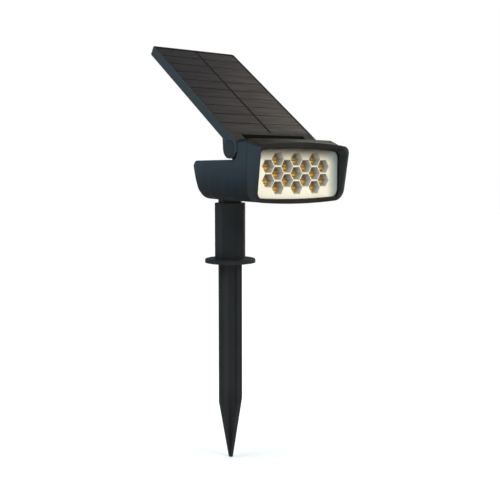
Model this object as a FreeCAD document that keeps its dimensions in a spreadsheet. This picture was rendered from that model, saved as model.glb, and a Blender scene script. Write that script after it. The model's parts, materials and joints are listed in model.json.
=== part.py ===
import FreeCAD, Part
import math
import os
import re
import Sketcher

# A solar garden light: a ground spike and sleeve, a lift-out swivel neck, a lamp head that
# holds the honeycomb reflector, battery and electronics, and a solar panel on two hinge legs.
# Frame: origin on the stake's axis at the underside of the flange, where it meets the ground.
# +Z is up and the lamp shines towards -Y.

App = FreeCAD
V = App.Vector
X_DIR, Y_DIR, Z_DIR = V(1, 0, 0), V(0, 1, 0), V(0, 0, 1)

# Driving dimensions, in millimetres and degrees.
SIZES = {
    # ground spike and sleeve
    "fin_radius": 12.2, "fin_thick": 2.8, "fin_straight": 127.0, "spike_length": 180.3,
    "tip_radius": 1.4, "hub_depth": 1.6, "plug_radius": 8.5, "plug_height": 11.0,
    "flange_radius": 22.7, "flange_thick": 3.5, "flange_round": 1.3,
    "sleeve_apothem": 13.0, "sleeve_top": 53.4, "socket_floor": 14.5,
    # neck
    "neck_apothem": 10.0, "neck_gap": 0.3, "neck_foot": 15.0, "neck_top": 56.6,
    "neck_wall": 3.0, "core_depth": 24.0, "boss_radius": 5.0, "boss_height": 6.2,
    "run_gap": 0.06, "screw_radius": 2.0, "screw_head": 3.6, "screw_depth": 14.0,
    "seal_inner": 6.3, "seal_outer": 8.1, "seal_thick": 1.1, "groove_depth": 1.0,
    "washer_radius": 7.8, "washer_thick": 1.0, "seat_radius": 10.9, "seat_height": 8.4,
    # head, front to rear
    "wall": 2.2, "rim_y": 104.0, "seam_y": 84.0, "mid_y": 30.0, "heel_section_y": 8.0, "tail_y": 30.0,
    "half_seam": 46.4, "half_mid": 37.7, "half_heel": 28.2, "half_tail": 20.0,
    "floor_z": 57.4, "belly": 1.9, "hump_top": 106.9, "deck_top": 90.7, "crown": 0.4,
    "foot_round": 10.0, "brow_round": 5.0, "hump_wall_y": 68.2, "hump_foot_y": 61.2,
    "hump_bend_z": 99.0, "nose_top": 104.9,
    "rake_low_y": 5.2, "rake_low_z": 62.4, "rake_top_y": 25.2, "rake_top_z": 86.4,
    "rake_radius": 78.0, "rake_corner": 17.5, "deck_end_y": 12.6, "heel_y": -2.0,
    "heel_radius": 8.2, "heel_lift": 0.9, "web_height": 13.0,
    "rib_end_y": 46.0, "rib_height": 1.6,
    # bezel and lens
    "half_brow": 47.4, "half_rim": 48.1, "brow_y": 92.5, "brow_side_z": 103.2,
    "brow_mid_z": 105.5, "brow_corner": 5.5, "rim_round": 7.0, "rim_foot_round": 7.5,
    "rim_side_z": 101.4, "rim_mid_z": 103.7, "rim_foot_z": 56.85,
    "rim_belly": 1.7, "rim_low_y": 91.6, "rim_high_y": 104.6, "rim_wall": 1.8,
    "rim_edge": 0.7, "seam_gap": 0.25,
    "mouth_foot_round": 4.5, "mouth_round": 5.0,
    "lens_front": 92.6, "lens_thick": 1.3, "gasket_thick": 0.4, "gasket_width": 1.3,
    "spigot": 4.0, "spigot_wall": 1.8, "spigot_gap": 0.9,
    "half_window": 44.1, "window_foot": 60.4, "window_belly": 1.1, "window_side": 98.0,
    "window_crown": 1.7, "window_round": 5.0, "window_foot_round": 6.5, "lens_margin": 1.0,
    # honeycomb reflector and light board
    "dish_front": 90.8, "comb_y": 89.4, "dish_slope": 7.0, "dish_flange": 88.8,
    "comb_inset": 2.8, "comb_back": 81.8, "comb_z": 79.86,
    "cell_half": 6.25, "cell_rise": 5.127, "cell_taper": 11.0, "cell_across": 9.743, "cell_up": 11.25,
    "board_thick": 1.6, "board_wide": 68.0, "board_high": 31.0, "led_size": 5.0, "led_thick": 1.8,
    "phosphor_radius": 3.85, "phosphor_thick": 0.5,
    # hinge and panel
    "hinge_y": 59.3, "hinge_z": 99.4, "barrel_radius": 6.0, "barrel_half": 32.0,
    "bolt_radius": 2.5, "bolt_gap": 0.07, "bolt_inner": 19.0, "bolt_head": 4.2,
    "bolt_head_thick": 2.6, "nut_inner": 20.0, "nut_outer": 22.9, "nut_radius": 4.4,
    "lug_inner": 33.0, "lug_outer": 44.7, "lug_swing": 10.35, "swing_width": 16.0,
    "cap_pocket": 6.9, "pocket_depth": 5.6, "panel_tilt": 35.5,
    "leg_end": 2.6, "shin_u": 9.06, "shin_w": 4.32, "ankle_u": 8.09, "ankle_w": 1.35,
    "sole_u": 4.59, "sole_w": 6.43, "calf_u": 6.6, "calf_w": 5.23, "knee_u": 11.9,
    "leg_front_round": 10.04, "ankle_round": 8.0, "sole_round": 8.5,
    "panel_half": 44.9, "panel_low": 6.4, "panel_high": 147.5, "panel_face": 9.7,
    "panel_thick": 8.6, "panel_corner": 2.0, "back_round": 1.6, "rib": 5.0, "hollow_depth": 4.2,
    "bottom_lip": 3.6, "side_lip": 1.1, "top_lip": 1.6,
    "laminate_depth": 2.6, "laminate_thick": 1.9, "cell_film": 0.35, "cell_rows": 10,
    "cell_gap": 0.8, "column_gap": 2.6,
    # battery, board and button
    "cell_r": 9.15, "cell_length": 65.0, "nub_length": 1.4, "battery_y": 52.0,
    "battery_z": 72.5, "cradle_long": 54.0, "cradle_deep": 20.0, "cradle_wall": 1.6,
    "button_radius": 4.6, "button_gap": 0.3, "button_y": 10.35, "button_z": 78.19,
    "button_foot": 3.45, "collar_thick": 1.2, "button_top": 9.5,
}

doc = App.newDocument("solar_garden_light")
sheet = doc.addObject("Spreadsheet::Sheet", "Sizes")
for row, (alias, number) in enumerate(SIZES.items(), start=1):
    sheet.set(f"A{row}", alias)
    sheet.set(f"B{row}", str(number))
    sheet.setAlias(f"B{row}", alias)
doc.recompute()

PARTS = []


# ---------------------------------------------------------------- helpers

def bound(text):
    """An expression whose size names point at the sheet's cells."""
    return re.sub(r"[a-z]\w*", lambda word: word.group(0) if word.group(0) == "sqrt"
                  else "Sizes." + word.group(0), text)


def size(text):
    """The present value of an expression in the sheet's sizes."""
    return float(sheet.evalExpression(text))


def keep(thing, label):
    """Name a sub-part and list it for export."""
    thing.Label = label
    PARTS.append(thing)
    return thing


def new_body(name):
    return doc.addObject("PartDesign::Body", name)


def sketch_on(body, name, plane, offset="0"):
    """A sketch parallel to one of the body's own origin planes."""
    sketch = body.newObject("Sketcher::SketchObject", name)
    base = next(part for part in body.Origin.OriginFeatures if part.Role == plane)
    sketch.AttachmentSupport = (base, [""])
    sketch.MapMode = "FlatFace"
    sketch.setExpression("AttachmentOffset.Base.z", bound(offset))
    return sketch


def hold(sketch, kind, index, point, text):
    """Tie one coordinate of a vertex to an expression."""
    if text == "0":
        axis = -2 if kind == "DistanceX" else -1
        sketch.addConstraint(Sketcher.Constraint("PointOnObject", index, point, axis))
        return
    number = sketch.addConstraint(Sketcher.Constraint(kind, -1, 1, index, point, size(text)))
    sketch.setExpression(f"Constraints[{number}]", bound(text))


def arc_between(start, end, radius):
    """Arc from start to end: a positive radius bulges outwards on an anticlockwise outline."""
    chord = end - start
    half = chord.Length / 2
    rise = math.sqrt(max(radius * radius - half * half, 0.0))
    left = V(-chord.y, chord.x, 0).normalize()
    centre = (start + end) * 0.5 + left * (rise if radius > 0 else -rise)
    first, last = (start, end) if radius > 0 else (end, start)
    angles = [math.atan2(p.y - centre.y, p.x - centre.x) for p in (first, last)]
    return Part.ArcOfCircle(Part.Circle(centre, Z_DIR, abs(radius)), angles[0], angles[1])


def outline(sketch, corners):
    """Closed anticlockwise outline. A corner is (across, up) or (across, up, arc radius)."""
    places = [V(size(corner[0]), size(corner[1]), 0) for corner in corners]
    base = sketch.GeometryCount
    count = len(corners)
    ends = []
    for index, corner in enumerate(corners):
        start, end = places[index], places[(index + 1) % count]
        if len(corner) == 2:
            sketch.addGeometry(Part.LineSegment(start, end))
            ends.append((1, 2))
            continue
        radius = size(corner[2])
        sketch.addGeometry(arc_between(start, end, radius))
        ends.append((1, 2) if radius > 0 else (2, 1))
    for index, corner in enumerate(corners):
        follower = (index + 1) % count
        sketch.addConstraint(Sketcher.Constraint(
            "Coincident", base + index, ends[index][1], base + follower, ends[follower][0]))
        hold(sketch, "DistanceX", base + index, ends[index][0], corner[0])
        hold(sketch, "DistanceY", base + index, ends[index][0], corner[1])
        if len(corner) == 3:
            text = corner[2] if size(corner[2]) > 0 else f"-({corner[2]})"
            number = sketch.addConstraint(
                Sketcher.Constraint("Radius", base + index, size(text)))
            sketch.setExpression(f"Constraints[{number}]", bound(text))
    return sketch


def circle(sketch, radius, across="0", up="0"):
    index = sketch.addGeometry(Part.Circle(V(size(across), size(up), 0), Z_DIR, size(radius)))
    hold(sketch, "DistanceX", index, 3, across)
    hold(sketch, "DistanceY", index, 3, up)
    number = sketch.addConstraint(Sketcher.Constraint("Radius", index, size(radius)))
    sketch.setExpression(f"Constraints[{number}]", bound(radius))
    return sketch


def polygon(sketch, sides, apothem):
    """Regular polygon about the origin with a flat facing along the first axis."""
    reach = f"({apothem}) / {math.cos(math.pi / sides):.9f}"
    corners = []
    for index in range(sides):
        angle = math.pi * (2 * index + 1) / sides
        corners.append((f"{math.cos(angle):.9f} * {reach}", f"{math.sin(angle):.9f} * {reach}"))
    return outline(sketch, corners)


def feature(body, kind, name, sketch, length, symmetric=False, reverse=False, taper=0.0):
    """Pad or Pocket of a sketch by a bound length."""
    made = body.newObject(f"PartDesign::{kind}", name)
    made.Profile = sketch
    made.SideType = "Symmetric" if symmetric else "One side"
    made.Reversed = reverse
    made.setExpression("Length", bound(length))
    made.TaperAngle = taper
    return made


def pad(body, name, sketch, length, **how):
    return feature(body, "Pad", name, sketch, length, **how)


def pocket(body, name, sketch, length, **how):
    return feature(body, "Pocket", name, sketch, length, **how)


def loft(body, name, sketches, cut=False, ruled=False):
    kind = "PartDesign::SubtractiveLoft" if cut else "PartDesign::AdditiveLoft"
    made = body.newObject(kind, name)
    made.Profile = sketches[0]
    made.Sections = sketches[1:]
    made.Ruled = ruled
    return made


def fillet(body, name, base, radius, wanted):
    """Round the edges of a feature that a test on the edge picks out."""
    doc.recompute()
    edges = [f"Edge{i + 1}" for i, edge in enumerate(base.Shape.Edges) if wanted(edge)]
    made = body.newObject("PartDesign::Fillet", name)
    made.Base = (base, edges)
    made.setExpression("Radius", bound(radius))
    return made


def cylinder(name, radius, length, place, turn=None):
    made = doc.addObject("Part::Cylinder", name)
    made.setExpression("Radius", bound(radius))
    made.setExpression("Height", bound(length))
    made.Placement = App.Placement(place, turn or App.Rotation())
    return made


def block(name, sizes, place, turn=None):
    """Box of three bound sizes whose placement is at its lowest corner."""
    made = doc.addObject("Part::Box", name)
    for side, text in zip(("Length", "Width", "Height"), sizes):
        made.setExpression(side, bound(text))
    made.Placement = App.Placement(place, turn or App.Rotation())
    return made


def centred(name, sizes, centre):
    """Box of three bound sizes about its centre."""
    half = V(*[size(text) / 2 for text in sizes])
    return block(name, sizes, centre - half)


def cut(name, base, tools):
    """Take each tool away in turn."""
    for number, tool in enumerate(tools):
        made = doc.addObject("Part::Cut", f"{name}_{number}")
        made.Base = base
        made.Tool = tool
        base = made
    return base


def fuse(name, things):
    """Join each solid to the last in turn."""
    base = things[0]
    for number, thing in enumerate(things[1:]):
        made = doc.addObject("Part::Fuse", f"{name}_{number}")
        made.Base = base
        made.Tool = thing
        base = made
    return base


def group(name, things):
    """Several separate solids that make one sub-part."""
    made = doc.addObject("Part::Compound", name)
    made.Links = things
    return made


ALONG_X = App.Rotation(Y_DIR, 90)
ALONG_Y = App.Rotation(X_DIR, -90)


# ---------------------------------------------------------------- stake

def ground_spike():
    """Four fins that taper to a blunt tip, with a round plug that enters the sleeve."""
    body = new_body("spike")
    fin = [("-tip_radius", "-spike_length"), ("tip_radius", "-spike_length"),
           ("fin_radius", "-fin_straight"), ("fin_radius", "-0.01"),
           ("-fin_radius", "-0.01"), ("-fin_radius", "-fin_straight")]
    for plane in ("XZ_Plane", "YZ_Plane"):
        sketch = outline(sketch_on(body, "fin_" + plane[:2], plane), fin)
        pad(body, "fins_" + plane[:2], sketch, "fin_thick", symmetric=True)
    hub = circle(sketch_on(body, "hub_round", "XY_Plane", "-hub_depth"), "fin_radius - 0.3")
    pad(body, "hub", hub, "hub_depth")
    plug = circle(sketch_on(body, "plug_round", "XY_Plane", "-0.5"), "plug_radius")
    pad(body, "plug", plug, "plug_height + 0.5")
    return keep(body, "ground_spike")


def stake_sleeve():
    """Round flange with an eight-sided tube that takes the neck."""
    body = new_body("sleeve")
    flange = circle(sketch_on(body, "flange_round", "XY_Plane"), "flange_radius")
    disc = pad(body, "flange", flange, "flange_thick")
    fillet(body, "flange_edge", disc, "flange_round",
           lambda edge: edge.BoundBox.ZMin > size("flange_thick") - 0.1)
    tube = polygon(sketch_on(body, "tube_sides", "XY_Plane", "0.5"), 8, "sleeve_apothem")
    pad(body, "tube", tube, "sleeve_top - 0.5")
    mouth = polygon(sketch_on(body, "mouth_sides", "XY_Plane", "sleeve_top"), 8,
                    "neck_apothem + neck_gap")
    pocket(body, "mouth", mouth, "sleeve_top - socket_floor")
    base = circle(sketch_on(body, "base_round", "XY_Plane"), "plug_radius")
    pocket(body, "base_socket", base, "plug_height", reverse=True)
    return keep(body, "stake_sleeve")


# ---------------------------------------------------------------- neck

def neck_post():
    """Eight-sided post with a shoulder, and the round boss that the head swivels on."""
    body = new_body("neck")
    post = polygon(sketch_on(body, "post_sides", "XY_Plane", "neck_foot"), 8, "neck_apothem")
    shaft = pad(body, "post", post, "neck_top - neck_foot")
    fillet(body, "foot_edge", shaft, "neck_gap * 4",
           lambda edge: edge.BoundBox.ZMax < size("neck_foot") + 0.1)
    boss = circle(sketch_on(body, "boss_round", "XY_Plane", "neck_top"), "boss_radius")
    pad(body, "boss", boss, "boss_height")
    core = circle(sketch_on(body, "core_round", "XY_Plane", "neck_foot"), "neck_apothem - neck_wall")
    pocket(body, "core", core, "core_depth", reverse=True)
    hole = circle(sketch_on(body, "screw_round", "XY_Plane", "neck_top + boss_height"),
                  "screw_radius")
    pocket(body, "screw_hole", hole, "screw_depth")
    groove = sketch_on(body, "groove_round", "XY_Plane", "neck_top")
    circle(groove, "seal_inner - 0.1")
    circle(groove, "seal_outer + 0.1")
    pocket(body, "seal_groove", groove, "groove_depth")
    return keep(body, "neck_post")


def neck_fittings():
    """Seal ring, washer and screw that hold the head down on the neck."""
    top = size("neck_top + boss_height")
    groove = V(0, 0, size("neck_top - groove_depth"))
    outer = cylinder("seal_ring", "seal_outer", "seal_thick", groove)
    inner = cylinder("seal_hole", "seal_inner", "seal_thick", groove)
    keep(cut("seal", outer, [inner]), "neck_seal")
    disc = cylinder("washer_disc", "washer_radius", "washer_thick", V(0, 0, top))
    bore = cylinder("washer_bore", "screw_radius + 0.1", "washer_thick", V(0, 0, top))
    keep(cut("washer", disc, [bore]), "swivel_washer")
    seat = top + size("washer_thick")
    cap_height = 2.4
    shank_length = size("screw_depth - 1")
    shank = cylinder("screw_shank", "screw_radius", str(shank_length),
                     V(0, 0, seat + 0.5 - shank_length))
    head = cylinder("screw_cap", "screw_head", str(cap_height), V(0, 0, seat))
    solid = fuse("screw_solid", [shank, head])
    arms = [centred(f"recess_{turn}", sides, V(0, 0, seat + cap_height - 0.4))
            for turn, sides in enumerate((("4.2", "0.9", "1.6"), ("0.9", "4.2", "1.6")))]
    keep(cut("swivel_screw_cut", solid, arms), "swivel_screw")


# ---------------------------------------------------------------- lamp head

def head_section(body, name, depth, half, inset):
    """Cross-section of the head: arched floor, large foot corners and small brow corners."""
    sketch = sketch_on(body, name, "XZ_Plane", depth)
    side = f"({half} - {inset})"
    low = f"(floor_z + {inset})"
    high = f"(hump_top - {inset})"
    foot = f"(foot_round - {inset} / 2)"
    brow = f"(brow_round - {inset} / 2)"
    floor_half = f"({side} - {foot})"
    taper = f"({half} / half_seam)"
    dip = f"(belly * {taper} * {taper} * {taper} * {taper})"
    arch = f"(({floor_half} * {floor_half} + {dip} * {dip}) / 2 / {dip})"
    rise = f"(({side} - {brow}) * ({side} - {brow}) / 2 / crown + crown / 2)"
    return outline(sketch, [
        (f"-{floor_half}", low, arch), (floor_half, low, foot),
        (side, f"{low} + {foot}"), (side, f"{high} - {brow}", brow),
        (f"{side} - {brow}", high, rise), (f"{brow} - {side}", high, brow),
        (f"-{side}", f"{high} - {brow}"), (f"-{side}", f"{low} + {foot}", foot)])


def head_form(name, inset, front):
    """The head's solid form, shrunk by an inset: a tapered loft cut to its side profile."""
    body = new_body(name)
    sections = [head_section(body, f"{name}_{place}", depth, half, inset) for place, depth, half
                in (("seam", front, "half_seam"), ("mid", "mid_y", "half_mid"),
                    ("heel", "-heel_section_y", "half_heel"), ("tail", "-tail_y", "half_tail"))]
    loft(body, name + "_loft", sections)
    side = sketch_on(body, name + "_side", "YZ_Plane")
    low_y, low_z = f"rake_low_y - {inset} * 0.84", f"rake_low_z + {inset} * 0.55"
    outline(side, [
        (f"heel_y - {inset} * 0.2", "40"), ("60", "40"), ("60", "120"),
        (f"-hump_wall_y - {inset}", "120"), (f"-hump_wall_y - {inset}", "hump_bend_z"),
        (f"-hump_foot_y - {inset}", f"deck_top - {inset}"),
        (f"deck_end_y - {inset}", f"deck_top - {inset}", "-rake_corner"),
        (f"rake_top_y - {inset}", f"rake_top_z - {inset}", "-rake_radius"),
        (low_y, low_z, "-heel_radius"),
        (f"heel_y - {inset} * 0.2", f"floor_z - heel_lift + {inset}")])
    pocket(body, name + "_profile", side, "120", symmetric=True)
    return body


def swing_pockets(shell):
    """Hollow the hump's rear wall round the path of each panel leg."""
    chord = "(hump_foot_y - hinge_y - 0.2)"
    half = f"sqrt(lug_swing * lug_swing - {chord} * {chord})"
    foot = "sqrt(lug_swing * lug_swing - (hinge_z - deck_top) * (hinge_z - deck_top))"
    for side, start in ((-1, "-barrel_half - swing_width"), (1, "barrel_half")):
        sketch = sketch_on(shell, f"swing_{side}", "YZ_Plane", start)
        outline(sketch, [(f"-hinge_y - {chord}", f"hinge_z + {half}", "lug_swing"),
                         (f"-hinge_y - {foot}", "deck_top"),
                         (f"-hinge_y - {chord}", "deck_top")])
        pocket(shell, f"swing_pocket_{side}", sketch, "swing_width", reverse=True)


def head_housing():
    """Hollow moulding with the hinge barrel between the panel's legs and a swivel seat."""
    shell = head_form("shell", "0", "seam_y")
    swing_pockets(shell)
    cavity = head_form("cavity", "wall", "seam_y + 1")
    half, hinge_y, hinge_z = size("barrel_half"), size("hinge_y"), size("hinge_z")
    neck_top, wall_y, deck = size("neck_top"), size("hump_wall_y"), size("deck_top")
    seat = cylinder("seat", "seat_radius", "seat_height", V(0, 0, neck_top + size("neck_gap")))
    barrel = cylinder("barrel", "barrel_radius", "2 * barrel_half", V(-half, -hinge_y, hinge_z),
                      ALONG_X)
    web = block("web", ("2 * barrel_half", "hump_wall_y - hinge_y + barrel_radius - 1",
                        "web_height"), V(-half, -wall_y - 1, deck - 3))
    nose = block("nose", ("2 * barrel_half", "hump_wall_y - hinge_y + 1", "nose_top - deck_top"),
                 V(-half, -wall_y - 1, deck))
    rib = block("deck_rib", ("2 * barrel_half", "hinge_y - rib_end_y", "rib_height + 1.5"),
                V(-half, -hinge_y, deck - 1.5))
    hollow = cut("hollow_shell", shell, [cavity])
    solid = fuse("housing_solid", [hollow, seat, barrel, web, nose, rib])
    seat_room = cylinder("seat_room", "seal_outer", "12", V(0, 0, neck_top + 6))
    swivel = cylinder("swivel_bore", "boss_radius + run_gap", "20", V(0, 0, neck_top - 2))
    bolts = cylinder("bolt_bore", "bolt_radius + 0.1", "2 * barrel_half + 2",
                     V(-half - 1, -hinge_y, hinge_z), ALONG_X)
    end_wall = 9.0
    room = f"2 * (barrel_half - {end_wall})"
    nuts = cylinder("nut_room", "nut_radius + 0.2", room, V(end_wall - half, -hinge_y, hinge_z),
                    ALONG_X)
    wires = block("barrel_room", (room, "9", "12"),
                  V(end_wall - half, -hinge_y - 4.5, hinge_z - 12))
    button = on_rear(cylinder("button_bore", "button_radius + button_gap", "20", V(0, 0, -10)))
    keep(cut("housing", solid, [seat_room, swivel, bolts, nuts, wires, button]), "head_housing")


def rim_section(body, name, depth, half, side_top, mid_top, inset, low, dip, corner,
                foot_corner):
    """Arched cross-section of the bezel or window: its top and its floor both bow outwards."""
    sketch = sketch_on(body, name, "XZ_Plane", depth)
    side = f"({half} - {inset})"
    bottom = f"({low} + {inset})"
    top = f"({side_top} - {inset})"
    foot = f"({foot_corner} - {inset} / 2)"
    round_top = f"({corner} - {inset} / 2)"
    floor_half = f"({side} - {foot})"
    roof_half = f"({side} - {round_top})"
    rise = f"({mid_top} - {side_top})"
    floor_arc = f"(({floor_half} * {floor_half} + {dip} * {dip}) / 2 / {dip})"
    roof_arc = f"(({roof_half} * {roof_half} + {rise} * {rise}) / 2 / {rise})"
    return outline(sketch, [
        (f"-{floor_half}", bottom, floor_arc), (floor_half, bottom, foot),
        (side, f"{bottom} + {foot}"), (side, f"{top} - {round_top}", round_top),
        (roof_half, top, roof_arc), (f"-{roof_half}", top, round_top),
        (f"-{side}", f"{top} - {round_top}"), (f"-{side}", f"{bottom} + {foot}", foot)])


def bezel_form(name, back):
    """Outer form of the bezel: three sections from seam to rim."""
    body = new_body(name)
    sections = [
        rim_section(body, name + "_seam", back, "half_seam", "hump_top", "(hump_top + crown)",
                    "0", "floor_z", "belly", "brow_round", "foot_round"),
        rim_section(body, name + "_brow", "brow_y", "half_brow", "brow_side_z", "brow_mid_z",
                    "0", "(rim_foot_z + 0.4)", "(belly - 0.5)", "brow_corner", "foot_round"),
        rim_section(body, name + "_rim", "rim_y", "half_rim", "rim_side_z", "rim_mid_z",
                    "0", "rim_foot_z", "rim_belly", "rim_round", "rim_foot_round")]
    loft(body, name + "_loft", sections, ruled=True)
    return body


def window(body, name, depth, grow):
    """Outline of the lens window, grown outwards."""
    return rim_section(body, name, depth, "half_window", "window_side",
                       "(window_side + window_crown)", f"(0 - {grow})", "window_foot",
                       "window_belly", "window_round", "window_foot_round")


def bezel_rooms():
    """The bezel's inside: a room for the reflector, the lens seat and the flared mouth."""
    rear = new_body("reflector_room")
    pad(rear, "rear_room", window(rear, "rear_room_outline", "seam_y - spigot - 1",
                                  "(0.2 - comb_inset)"), "dish_flange - seam_y + spigot + 1")
    seat = new_body("lens_room")
    pad(seat, "lens_seat", window(seat, "lens_seat_outline", "dish_flange - 0.2", "lens_margin"),
        "lens_front - dish_flange + 0.2")
    funnel = new_body("funnel")
    throat = window(funnel, "funnel_window", "lens_front - 0.1", "0")
    mouth = rim_section(funnel, "funnel_mouth", "rim_y + 2", "half_rim", "rim_side_z",
                        "rim_mid_z", "rim_wall", "rim_foot_z", "rim_belly", "mouth_round",
                        "mouth_foot_round")
    loft(funnel, "funnel_loft", [throat, mouth], ruled=True)
    return [rear, seat, funnel]


def front_bezel():
    """Flared frame round the lens, with a spigot that enters the housing."""
    outer = bezel_form("bezel_outer", "seam_y + seam_gap")
    face = outline(sketch_on(outer, "rim_plane", "YZ_Plane"), [
        ("-130", "40"), ("-rim_low_y", "40"), ("-rim_high_y", "120"), ("-130", "120")])
    front = pocket(outer, "rim_face", face, "120", symmetric=True)
    fillet(outer, "rim_edge_round", front, "rim_edge",
           lambda edge: edge.BoundBox.YMax < -93 and edge.Length > 8)
    spigot = new_body("spigot_body")
    ring = head_section(spigot, "spigot_out", "seam_y - spigot", "half_seam", "(wall + spigot_gap)")
    pad(spigot, "spigot_pad", ring, "spigot + 1")
    hole = head_section(spigot, "spigot_in", "seam_y - spigot", "half_seam",
                        "(wall + spigot_gap + spigot_wall)")
    pocket(spigot, "spigot_hole", hole, "spigot + 1", reverse=True)
    keep(cut("bezel", fuse("bezel_solid", [outer, spigot]), bezel_rooms()), "front_bezel")


def front_lens():
    body = new_body("lens")
    sheet_outline = window(body, "lens_outline", "lens_front - lens_thick", "(lens_margin - 0.1)")
    pad(body, "lens_sheet", sheet_outline, "lens_thick")
    return keep(body, "front_lens")


def lens_gasket():
    """Thin frame behind the lens that presses it into the bezel."""
    body = new_body("gasket")
    depth = "lens_front - lens_thick - gasket_thick"
    pad(body, "gasket_pad", window(body, "gasket_out", depth, "(lens_margin - 0.1)"),
        "gasket_thick")
    pocket(body, "gasket_hole", window(body, "gasket_in", depth, "(lens_margin - gasket_width)"),
           "gasket_thick", reverse=True)
    return keep(body, "lens_gasket")


def comb_cell(body, name, column, row):
    """One flat-topped six-sided cell opening on the comb's face."""
    sketch = sketch_on(body, name, "XZ_Plane", "comb_y")
    x, z = f"{column} * cell_across", f"comb_z + {row} * cell_up"
    return outline(sketch, [
        (f"{x} + cell_half", z), (f"{x} + cell_half / 2", f"{z} + cell_rise"),
        (f"{x} - cell_half / 2", f"{z} + cell_rise"), (f"{x} - cell_half", z),
        (f"{x} - cell_half / 2", f"{z} - cell_rise"), (f"{x} + cell_half / 2", f"{z} - cell_rise")])


def comb_pattern(body, name, column, row, columns, rows):
    """Cut one tapered cell through the block and the dish, and repeat it over the comb."""
    first = pocket(body, name, comb_cell(body, name + "_outline", column, row),
                   "comb_y - comb_back + 0.01", taper=-size("cell_taper"))
    mouth = pocket(body, name + "_mouth", comb_cell(body, name + "_rim", column, row),
                   "dish_front - comb_y + 0.1", reverse=True)
    base = next(part for part in body.Origin.OriginFeatures if part.Role == "X_Axis")
    second = next(part for part in body.Origin.OriginFeatures if part.Role == "Z_Axis")
    grid = body.newObject("PartDesign::LinearPattern", name + "_grid")
    grid.Originals = [first, mouth]
    grid.Direction = (base, [""])
    grid.Direction2 = (second, [""])
    grid.Occurrences = columns
    grid.Occurrences2 = rows
    grid.setExpression("Length", bound(f"{columns - 1} * 2 * cell_across"))
    grid.setExpression("Length2", bound(f"{rows - 1} * cell_up"))
    body.Tip = grid
    return grid


def reflector():
    """Dished plate and the block behind it, with seventeen tapered cells in a honeycomb."""
    body = new_body("comb")
    pad(body, "comb_block", window(body, "block_outline", "comb_back", "(0 - comb_inset)"),
        "dish_flange - comb_back + 0.1")
    pad(body, "dish_plate", window(body, "dish_outline", "dish_flange", "(0 - 0.3)"),
        "dish_front - dish_flange")
    dish = [window(body, "dish_edge", "dish_front", "(0 - 0.9)"),
            window(body, "dish_floor", "comb_y", "(0 - dish_slope)")]
    loft(body, "dish", dish, cut=True)
    comb_pattern(body, "even_cell", -2, -1, 3, 3)
    comb_pattern(body, "odd_cell", -3, -0.5, 4, 2)
    return keep(body, "reflector")


def comb_centres():
    """Centre of every cell of the honeycomb, as X and Z."""
    centres = []
    for column in range(-3, 4):
        rows = (-0.5, 0.5) if column % 2 else (-1, 0, 1)
        for row in rows:
            centres.append((column * size("cell_across"),
                            size("comb_z") + row * size("cell_up")))
    return centres


def light_board():
    """Board behind the reflector with one light package in each cell, and its screws."""
    back = -size("comb_back")
    thick, led, gel = size("board_thick"), size("led_thick"), size("phosphor_thick")
    board = centred("board", ("board_wide", "board_thick", "board_high"),
                    V(0, back + thick / 2, size("comb_z")))
    keep(board, "led_board")
    packages, phosphors = [], []
    for number, (x, z) in enumerate(comb_centres()):
        packages.append(centred(f"package_{number}", ("led_size", "led_thick", "led_size"),
                                V(x, back - led / 2, z)))
        phosphors.append(cylinder(f"phosphor_{number}", "phosphor_radius", "phosphor_thick",
                                  V(x, back - led - gel, z), ALONG_Y))
    keep(group("packages", packages), "led_packages")
    keep(group("phosphors", phosphors), "led_phosphors")
    across, up = size("board_wide / 2 - 2"), size("board_high / 2 - 2")
    screws = [cylinder(f"board_screw_{side}_{rise}", "screw_radius", "1.6",
                       V(side * across, back + thick, size("comb_z") + rise * up), ALONG_Y)
              for side in (-1, 1) for rise in (-1, 1)]
    keep(group("board_screw_set", screws), "board_screws")


def bezel_screws():
    """Two screws through the underside into the bezel's spigot."""
    across, length = 22.0, 4.2
    screws = [cylinder(f"bezel_screw_{side}", "1.2", str(length),
                       V(side * across, 2 - size("seam_y"), size("floor_z") - 1.1))
              for side in (-1, 1)]
    keep(group("bezel_screw_set", screws), "bezel_screws")


# ---------------------------------------------------------------- inside the head

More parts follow.
